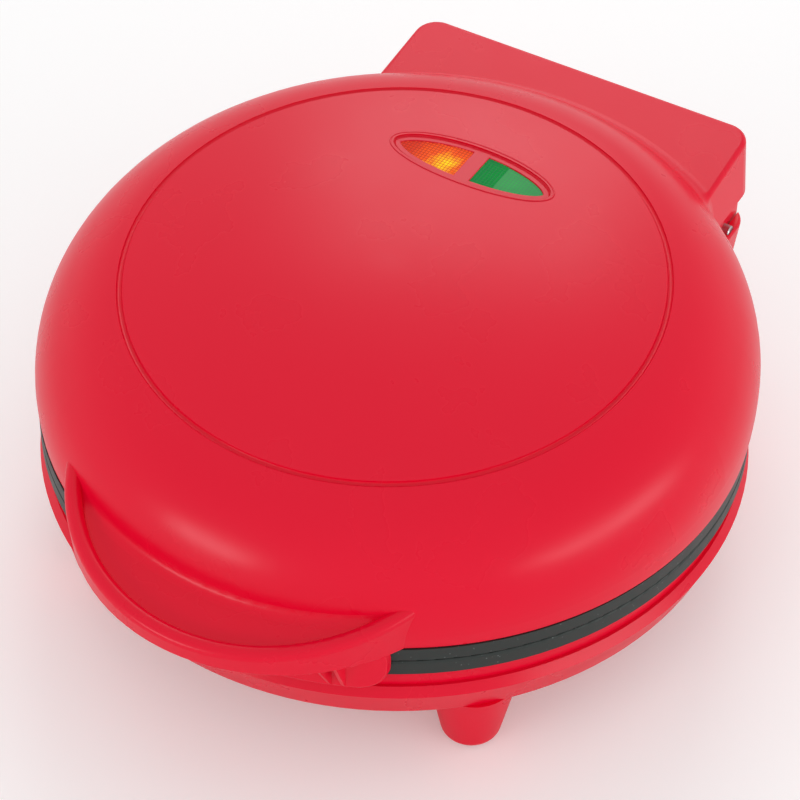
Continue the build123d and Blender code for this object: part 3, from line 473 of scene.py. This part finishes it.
def lay_on_crown(bm, settings):
    """Bends flat geometry to the crown and puts it in the bezel's place."""
    for vert in bm.verts:
        vert.co.z -= (vert.co.x ** 2 + vert.co.y ** 2) / (2 * settings.crown_radius)
    bmesh.ops.transform(bm, matrix=bezel_matrix(settings), verts=bm.verts)


def bezel_matrix(settings):
    """From the bezel's own plane to the row frame."""
    return Matrix.Translation(settings.place) @ Matrix.Rotation(-settings.lean, 4, "X")


def window_outline(settings, inset, bar_half, corner):
    """Points of one window, anticlockwise: an oval cut by the crossbar, its corners rounded."""
    curve_steps, corner_steps = 16, 5
    long_axis = settings.half_length - inset - corner
    short_axis = settings.half_width - inset - corner
    limit = math.acos((bar_half + corner) / long_axis)
    points = []
    for step in range(2 * curve_steps + 1):
        t = limit * (step / curve_steps - 1)
        normal = Vector((math.cos(t) * short_axis, math.sin(t) * long_axis)).normalized()
        points.append(Vector((math.cos(t) * long_axis, math.sin(t) * short_axis)) + normal * corner)
    tip = Vector((math.cos(limit) * long_axis, math.sin(limit) * short_axis))
    start = math.atan2(math.sin(limit) * long_axis, math.cos(limit) * short_axis)
    for centre, first in ((tip, start), (Vector((tip.x, -tip.y)), math.pi)):
        for step in range(corner_steps + 1):
            angle = first + (math.pi - start) * step / corner_steps
            points.append(centre + corner * Vector((math.cos(angle), math.sin(angle))))
    shortest = 0.02 * MM
    return [p for k, p in enumerate(points) if (p - points[k - 1]).length > shortest]


class BezelSettings(PropertyGroup):
    """The indicator bezel and its lenses, in a plane tangent to the crown."""

    place: FloatVectorProperty(
        name="Centre", description="Where the bezel's axis meets the crown",
        default=(0.0, 0.0401, 0.09759), unit="LENGTH",
    )
    lean: FloatProperty(
        name="Lean", description="Angle of the crown there, down to the rear",
        default=math.radians(2.05), subtype="ANGLE",
    )
    crown_radius: FloatProperty(
        name="Crown radius", description="Radius of the shallow crown", default=0.386,
        unit="LENGTH",
    )
    half_length: FloatProperty(
        name="Half length", description="Half of the oval's long axis", default=0.025,
        unit="LENGTH",
    )
    half_width: FloatProperty(
        name="Half width", description="Half of the oval's short axis", default=0.009,
        unit="LENGTH",
    )
    lip: FloatProperty(
        name="Lip", description="How far the lip reaches past the body below", default=0.0012,
        unit="LENGTH",
    )
    stand: FloatProperty(
        name="Stand", description="How far the lip's seat is held above the lid", default=0.00004,
        unit="LENGTH",
    )
    window_inset: FloatProperty(
        name="Window inset", description="From the oval's edge to the windows", default=0.0030,
        unit="LENGTH",
    )
    bar_half: FloatProperty(
        name="Half crossbar", description="Half of the bar between the windows", default=0.0022,
        unit="LENGTH",
    )
    corner: FloatProperty(
        name="Corner", description="Radius of the windows' corners", default=0.0012,
        unit="LENGTH",
    )
    depth: FloatProperty(
        name="Depth", description="From the crown to the bezel's underside", default=0.0034,
        unit="LENGTH",
    )
    prism: FloatProperty(
        name="Prism", description="Width of one prism of a lens", default=0.001, unit="LENGTH",
    )
    prism_height: FloatProperty(
        name="Prism height", description="Height of one prism", default=0.00022, unit="LENGTH",
    )
    green_prisms: FloatProperty(
        name="Green prisms", description="How far from the middle the green prisms end",
        default=0.0088, unit="LENGTH",
    )
    # Centres of the painted glow on the two lenses, where the lamp behind each lens would light it
    # most
    amber_painted_glow: FloatVectorProperty(
        name="Amber spot", description="Where the lamp glows behind the amber lens",
        default=(-0.0070, -0.0026, 0.0), unit="LENGTH",
    )
    green_painted_glow: FloatVectorProperty(
        name="Green spot", description="Where the lamp glows behind the green lens",
        default=(0.0125, -0.0005, 0.0), unit="LENGTH",
    )
    lens_level: FloatProperty(
        name="Lens level", description="How far the lenses lie below the crown", default=0.00095,
        unit="LENGTH",
    )
    lens_fit: FloatProperty(
        name="Lens fit", description="Clearance round a lens in its window", default=0.0001,
        unit="LENGTH",
    )
    flange: FloatProperty(
        name="Flange", description="Width and thickness of a lens's flange", default=0.001,
        unit="LENGTH",
    )


class OMELETTE_OT_bezel(Operator):
    """Builds the oval bezel with its rolled lip, sunk band, inner bead and two windows"""

    bl_idname = "omelette.bezel"
    bl_label = "Indicator bezel"

    def execute(self, context):
        s = context.scene.omelette_bezel
        bm = bmesh.new()
        bmesh.ops.create_circle(bm, cap_ends=True, segments=72, radius=1.0)
        bmesh.ops.scale(bm, vec=(s.half_length, s.half_width, 1.0), verts=bm.verts)
        face = bm.faces[:][0]
        for width, rise in RIM_STEPS:
            bmesh.ops.inset_individual(
                bm, faces=[face], thickness=width * MM, depth=rise * MM, use_even_offset=True,
            )

        # The flat around the windows: cut beside the crossbar, then inset and rounded
        ring = s.window_inset - sum(width for width, _ in RIM_STEPS) * MM
        for side in (-1, 1):
            face = max(bm.faces, key=lambda f: f.calc_area())
            bmesh.ops.bisect_plane(
                bm, geom=[face] + face.edges[:] + face.verts[:], dist=1e-7,
                plane_co=(side * (s.bar_half - ring), 0, 0), plane_no=(1, 0, 0),
            )
        for pane in self.two_largest(bm):
            bmesh.ops.inset_individual(bm, faces=[pane], thickness=ring, use_even_offset=True)
            corners = sorted(pane.verts, key=lambda v: abs(v.co.x))[:2]
            bmesh.ops.bevel(
                bm, geom=corners, offset=s.corner, offset_type="OFFSET", segments=5, profile=0.5,
                affect="VERTICES", material=-1,
            )

        # The windows' walls: a rounded edge of two steps, then down to the underside
        panes = self.two_largest(bm)
        level = panes[0].calc_center_median().z / MM
        edge_steps = ((0.12, 0.08), (0.08, 0.22))
        wall = s.depth / MM + level - sum(drop for _, drop in edge_steps)
        for pane in panes:
            for width, drop in (*edge_steps, (0.02, wall)):
                bmesh.ops.inset_individual(
                    bm, faces=[pane], thickness=width * MM, depth=-drop * MM,
                    use_even_offset=True,
                )
            bmesh.ops.delete(bm, geom=[pane], context="FACES_ONLY")

        # Underside: the lip's seat on the lid, the body's wall and its lower face
        rim = [edge for edge in open_edges(bm) if edge.verts[0].co.z > -0.1 * MM]
        shrink = (1 - s.lip / s.half_length, 1 - s.lip / s.half_width)
        rim = pull_out(bm, rim, shrink, 0.0)
        pull_out(bm, rim, (1, 1), s.depth)
        bmesh.ops.triangle_fill(bm, edges=open_edges(bm), use_beauty=True)
        bmesh.ops.translate(bm, vec=(0, 0, s.stand), verts=bm.verts)
        lay_on_crown(bm, s)
        finish = context.scene.omelette_finish
        red = moulded_abs(
            "bezel_gloss_abs", finish.bezel, finish.bezel_shade, finish.bezel_roughness
        )
        piece = add_piece(bm, "bezel_ring", red, "lid", math.radians(40))
        piece.modifiers.new("even_shading", "WEIGHTED_NORMAL").keep_sharp = True
        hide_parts("lamp_bezel")
        return {"FINISHED"}

    def two_largest(self, bm):
        """The two panes, which are the largest faces once the crossbar is cut."""
        return sorted(bm.faces, key=lambda f: -f.calc_area())[:2]


class OMELETTE_OT_lenses(Operator):
    """Builds the two indicator lenses with their prisms, walls and flanges"""

    bl_idname = "omelette.lenses"
    bl_label = "Indicator lenses"

    def execute(self, context):
        s = context.scene.omelette_bezel
        matrix = bezel_matrix(s)
        # Each lens gets a painted glow with emission round its lamp's spot, though the lens itself
        # is no lamp
        amber = prism_plastic(
            "amber_prism_painted_glow", ("FFD21E", "EC5A1C", "C8301E", "9A2410"),
            matrix @ Vector(s.amber_painted_glow), reach=12.0 * MM, glow=0.42,
        )
        green = prism_plastic(
            "green_prism_painted_glow", ("00A03C", "009438", "0E8440", "1C7A4A"),
            matrix @ Vector(s.green_painted_glow), reach=14.0 * MM, glow=0.12,
        )
        self.add_lens(s, "amber_lens", -1, amber, s.half_length)
        self.add_lens(s, "green_lens", 1, green, s.green_prisms)
        return {"FINISHED"}

    def add_lens(self, s, name, side, material, prism_end):
        """One lens, made on the right and put on its side of the bezel."""
        bm = self.prism_field(s, prism_end)
        outline = window_outline(
            s, s.window_inset + s.lens_fit, s.bar_half + s.lens_fit, s.corner - s.lens_fit
        )
        for k, point in enumerate(outline):
            run = outline[(k + 1) % len(outline)] - point
            bmesh.ops.bisect_plane(
                bm, geom=bm.verts[:] + bm.edges[:] + bm.faces[:], dist=1e-7,
                plane_co=(*point, 0), plane_no=(run.y, -run.x, 0), clear_outer=True,
            )
        bmesh.ops.translate(bm, vec=(0, 0, -s.lens_level), verts=bm.verts)
        underside = -s.depth - s.lens_fit
        for vert in new_verts(bmesh.ops.extrude_edge_only(bm, edges=open_edges(bm))["geom"]):
            vert.co.z = underside
        bmesh.ops.contextual_create(bm, geom=open_edges(bm))

        # The flange below, a shell of its own that overlaps the wall a little
        wide = window_outline(s, s.window_inset - s.flange, s.bar_half - s.flange, s.corner)
        flange = bm.faces.new([bm.verts.new((*point, underside)) for point in wide])
        low = new_verts(bmesh.ops.extrude_face_region(bm, geom=[flange])["geom"])
        bmesh.ops.translate(bm, vec=(0, 0, -s.flange), verts=low)
        bmesh.ops.scale(bm, vec=(side, 1, 1), verts=bm.verts)
        lay_on_crown(bm, s)
        piece = add_piece(bm, name + "_cap", material, "lid", math.radians(12))
        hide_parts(name)

    def prism_field(self, s, prism_end):
        """A grid over one window with a prism on each square that lies before prism_end."""
        across = math.ceil((s.half_length - s.window_inset) / s.prism)
        along = 2 * math.ceil((s.half_width - s.window_inset) / s.prism)
        bm = bmesh.new()
        bmesh.ops.create_grid(bm, x_segments=across, y_segments=along, size=0.5)
        bmesh.ops.translate(bm, vec=(0.5, 0, 0), verts=bm.verts)
        bmesh.ops.scale(bm, vec=(across * s.prism, along * s.prism, 1), verts=bm.verts)
        cells = bm.loops.layers.uv.new("prisms")
        for face in bm.faces:
            for loop in face.loops:
                x, y, _ = loop.vert.co
                loop[cells].uv = (x / s.prism - 0.5, y / s.prism - 0.5)
        raised = [f for f in bm.faces if f.calc_center_median().x < prism_end]
        bmesh.ops.poke(bm, faces=raised, offset=s.prism_height)
        return bm


class ScrewSettings(PropertyGroup):
    """The pan-head screws with a cross recess."""

    head_radius: FloatProperty(
        name="Head radius", description="Radius of the head", default=0.003, unit="LENGTH",
    )
    head_height: FloatProperty(
        name="Head height", description="Height of the head", default=0.0016, unit="LENGTH",
    )
    shank_radius: FloatProperty(
        name="Shank radius", description="Radius over the thread", default=0.00148,
        unit="LENGTH",
    )
    pitch: FloatProperty(
        name="Pitch", description="From one thread crest to the next", default=0.0009,
        unit="LENGTH",
    )
    recess: FloatProperty(
        name="Recess", description="Depth of the cross recess", default=0.001, unit="LENGTH",
    )
    segments: IntProperty(
        name="Segments", description="Edges round the screw", default=32, min=12,
    )


class OMELETTE_OT_screws(Operator):
    """Builds every screw set with rounded heads, cross recesses and threaded shanks"""

    bl_idname = "omelette.screws"
    bl_label = "Screws"

    def execute(self, context):
        s = context.scene.omelette_screws
        steel = brushed_metal("zinc_plated_steel", "A9ABAC", "C6C8C8", 0.28, (1, 1, 6))
        for name, body, up in (
            ("lower_plate_screws", "base", -1), ("upper_plate_screws", "lid", -1),
            ("cord_clamp_screws", "base", 1),
        ):
            low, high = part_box(name)
            reach = high[0] - s.head_radius
            centre = Vector((0, (low[1] + high[1]) / 2, high[2] if up > 0 else low[2]))
            flip = Matrix.Identity(4) if up > 0 else Matrix.Rotation(math.pi, 4, "X")
            angles = (math.pi, 0.0) if up > 0 else [k * math.pi / 2 for k in range(4)]
            bm = bmesh.new()
            for k, angle in enumerate(angles):
                place = centre + reach * Vector((math.cos(angle), math.sin(angle), 0))
                # Each cross stands at an angle of its own, as driven screws do
                turn = Matrix.Rotation(0.4 + 0.7 * k, 4, "Z")
                matrix = Matrix.Translation(place) @ flip @ turn
                self.add_screw(bm, s, matrix, high[2] - low[2])
            piece = add_piece(bm, name + "_turned", steel, body)
            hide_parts(name)
        return {"FINISHED"}

    def add_screw(self, bm, s, matrix, length):
        """One screw with the top of its head at the matrix's origin and its shank down."""
        arm, half = 0.55 * s.head_radius, 0.12 * s.head_radius
        flat_radius = 0.72 * s.head_radius
        recess_taper = 0.72
        cross = []
        for k in range(4):
            turn = Matrix.Rotation(k * math.pi / 2, 2)
            for x, y in ((half, half), (half, arm), (-half, arm)):
                cross.append(turn @ Vector((x, y)))
        verts = [bm.verts.new((*point, 0)) for point in cross]
        recess = [bm.edges.new((verts[k - 1], verts[k])) for k in range(len(verts))]
        ring = bmesh.ops.create_circle(bm, segments=s.segments, radius=flat_radius)["verts"]
        rim = list({edge for vert in ring for edge in vert.link_edges})
        made = set(verts) | set(ring)
        bmesh.ops.triangle_fill(bm, edges=recess + rim, use_beauty=True)
        floor = pull_out(bm, recess, (recess_taper, recess_taper), s.recess)
        bmesh.ops.contextual_create(bm, geom=floor)
        made |= {vert for edge in floor for vert in edge.verts}

        # Down the screw's side: the rounded head, its seat, the thread's crests and roots
        radius, level = flat_radius, 0.0
        root_radius = 0.8 * s.shank_radius
        profile = [
            (0.90 * s.head_radius, 0.12 * s.head_height), (s.head_radius, 0.40 * s.head_height),
            (s.head_radius, s.head_height), (s.shank_radius, s.head_height),
        ]
        z = s.head_height
        while z < length - 2 * s.pitch:
            profile.append((s.shank_radius, z + 0.15 * s.pitch))
            profile.append((root_radius, z + 0.55 * s.pitch))
            profile.append((s.shank_radius, z + s.pitch))
            z += s.pitch
        profile.append((0.5 * s.shank_radius, length))
        for next_radius, next_level in profile:
            rim = pull_out(bm, rim, (next_radius / radius,) * 2, next_level - level)
            made |= {vert for edge in rim for vert in edge.verts}
            radius, level = next_radius, next_level
        bmesh.ops.contextual_create(bm, geom=rim)
        bmesh.ops.transform(bm, matrix=matrix, verts=list(made))


class StageSettings(PropertyGroup):
    """Floor, lamps and camera."""

    azimuth: FloatProperty(
        name="Camera azimuth", description="Angle of the camera round the object",
        default=math.radians(29.08), subtype="ANGLE",
    )
    elevation: FloatProperty(
        name="Camera elevation", description="Angle of the camera above the horizon",
        default=math.radians(44.32), subtype="ANGLE",
    )
    roll: FloatProperty(
        name="Camera roll", description="Turn of the camera about its own axis",
        default=math.radians(0.95), subtype="ANGLE",
    )
    distance: FloatProperty(
        name="Camera distance", description="From the lid's lower edge to the camera",
        default=0.8146, unit="LENGTH",
    )
    aim_right: FloatProperty(
        name="Aim right", description="Shift of the camera to its right", default=0.0013,
        unit="LENGTH",
    )
    aim_up: FloatProperty(
        name="Aim up", description="Shift of the camera upwards", default=-0.0053, unit="LENGTH",
    )
    target: FloatVectorProperty(
        name="Target", description="Point the camera turns about", default=(0, 0, 0.0502),
        unit="LENGTH",
    )
    lens: FloatProperty(
        name="Lens", description="Focal length in millimetres", default=135.0,
        unit="CAMERA",
    )
    lamp_aim: FloatVectorProperty(
        name="Lamp aim", description="Point that the lamps face", default=(0, 0, 0.05),
        unit="LENGTH",
    )
    ambient: FloatProperty(
        name="Ambient light", description="Strength of the white studio around the object",
        default=0.69,
    )
    floor_size: FloatProperty(
        name="Floor size", description="Half of the floor's side", default=3.0, unit="LENGTH",
    )
    floor_glow: FloatProperty(
        name="Floor glow", description="White that only the camera sees on the floor",
        default=0.2,
    )


class OMELETTE_OT_stage(Operator):
    """Adds the floor, the studio lamps and the camera"""

    bl_idname = "omelette.stage"
    bl_label = "Studio stage"

    def execute(self, context):
        s = context.scene.omelette_stage
        context.scene.view_settings.view_transform = "Standard"
        self.add_camera(context.scene, s)
        self.add_floor(context.scene, s)
        self.add_world(context.scene, s)
        self.add_lamps(context.scene, s)
        return {"FINISHED"}

    def add_camera(self, scene, s):
        """The camera at the photograph's viewing angle."""
        a, e = s.azimuth, s.elevation
        right = Vector((math.cos(a), math.sin(a), 0))
        back = Vector((math.sin(a) * math.cos(e), -math.cos(a) * math.cos(e), math.sin(e)))
        up = back.cross(right)
        camera = bpy.data.objects.new("camera", bpy.data.cameras.new("camera"))
        scene.collection.objects.link(camera)
        camera.data.sensor_width = 36.0
        camera.data.lens = s.lens
        camera.data.clip_start = 0.01
        camera.location = (
            Vector(s.target) + right * s.aim_right + up * s.aim_up + back * s.distance
        )
        camera.rotation_mode = "QUATERNION"
        turn = Matrix((right, up, back)).transposed() @ Matrix.Rotation(s.roll, 3, "Z")
        camera.rotation_quaternion = turn.to_quaternion()
        scene.camera = camera

    def add_floor(self, scene, s):
        """A plain white floor that keeps the shadow and is a little brighter to the camera."""
        bm = bmesh.new()
        bmesh.ops.create_grid(bm, x_segments=1, y_segments=1, size=s.floor_size)
        mesh = bpy.data.meshes.new("floor")
        bm.to_mesh(mesh)
        bm.free()
        floor = bpy.data.objects.new("floor", mesh)
        scene.collection.objects.link(floor)
        paper, tree, shader = new_material("matt_white_paper", {
            "Roughness": 0.9, "Emission Color": WHITE,
        })
        fibre = add_node(tree, "ShaderNodeTexNoise", {
            "Vector": add_node(tree, "ShaderNodeTexCoord", output="Object"),
            "Scale": pattern_scale(2.0), "Detail": 3.0,
        })
        seen = add_node(tree, "ShaderNodeLightPath", output="Is Camera Ray")
        connect(tree, shader, {
            "Base Color": add_node(tree, "ShaderNodeMix", {
                0: fibre, 6: linear("F4F4F4"), 7: linear("F6F6F6"),
            }, output=2, data_type="RGBA"),
            "Emission Strength": add_node(tree, "ShaderNodeMapRange", {
                "Value": seen, "To Max": s.floor_glow,
            }),
        })
        mesh.materials.append(paper)

    def add_world(self, scene, s):
        """White to the camera, gloss and glass, and a plain level of light to everything else."""
        world = bpy.data.worlds.new("studio")
        world.use_nodes = True
        scene.world = world
        tree = world.node_tree
        background = tree.nodes["Background"]
        seen = add_node(tree, "ShaderNodeLightPath", output="Is Camera Ray")
        path = seen.node.outputs
        for ray in ("Is Glossy Ray", "Is Transmission Ray"):
            either = {0: seen, 1: path[ray]}
            seen = add_node(tree, "ShaderNodeMath", either, operation="MAXIMUM")
        strength = add_node(tree, "ShaderNodeMapRange", {
            "Value": seen, "To Min": s.ambient, "To Max": 1.0,
        })
        connect(tree, background, {"Color": WHITE, "Strength": strength})

    def add_lamps(self, scene, s):
        """The soft lamps, which face the object and stay out of the picture."""
        for name, place, size, watts in LAMPS:
            light = bpy.data.lights.new(name, "AREA")
            light.shape = "RECTANGLE"
            light.size, light.size_y = size
            light.energy = watts
            lamp = bpy.data.objects.new(name, light)
            scene.collection.objects.link(lamp)
            lamp.location = place
            lamp.visible_camera = False
            lamp.rotation_mode = "QUATERNION"
            aim = Vector(s.lamp_aim) - Vector(place)
            lamp.rotation_quaternion = aim.to_track_quat("-Z", "Y")


class OMELETTE_PT_panel(Panel):
    """Lists the sizes, the colours and the steps"""

    bl_label = "Omelette Maker"
    bl_space_type = "VIEW_3D"
    bl_region_type = "UI"
    bl_category = "Omelette Maker"

    def draw(self, context):
        for group in SETTINGS:
            settings = getattr(context.scene, group)
            for name in settings.__annotations__:
                self.layout.prop(settings, name)
        for step in STEPS:
            self.layout.operator(step)


SETTINGS = {
    "omelette_finish": FinishSettings, "omelette_bezel": BezelSettings,
    "omelette_screws": ScrewSettings, "omelette_stage": StageSettings,
}
STEPS = (
    "omelette.finishes", "omelette.bezel", "omelette.lenses", "omelette.screws",
    "omelette.stage",
)
CLASSES = (
    *SETTINGS.values(), OMELETTE_OT_finishes, OMELETTE_OT_bezel, OMELETTE_OT_lenses,
    OMELETTE_OT_screws, OMELETTE_OT_stage, OMELETTE_PT_panel,
)


def register():
    for cls in CLASSES:
        bpy.utils.register_class(cls)
    for name, group in SETTINGS.items():
        setattr(bpy.types.Scene, name, bpy.props.PointerProperty(type=group))


def unregister():
    for name in SETTINGS:
        delattr(bpy.types.Scene, name)
    for cls in reversed(CLASSES):
        bpy.utils.unregister_class(cls)


def main():
    register()
    for step in STEPS:
        group, name = step.split(".")
        getattr(getattr(bpy.ops, group), name)()


if __name__ == "__main__":
    main()
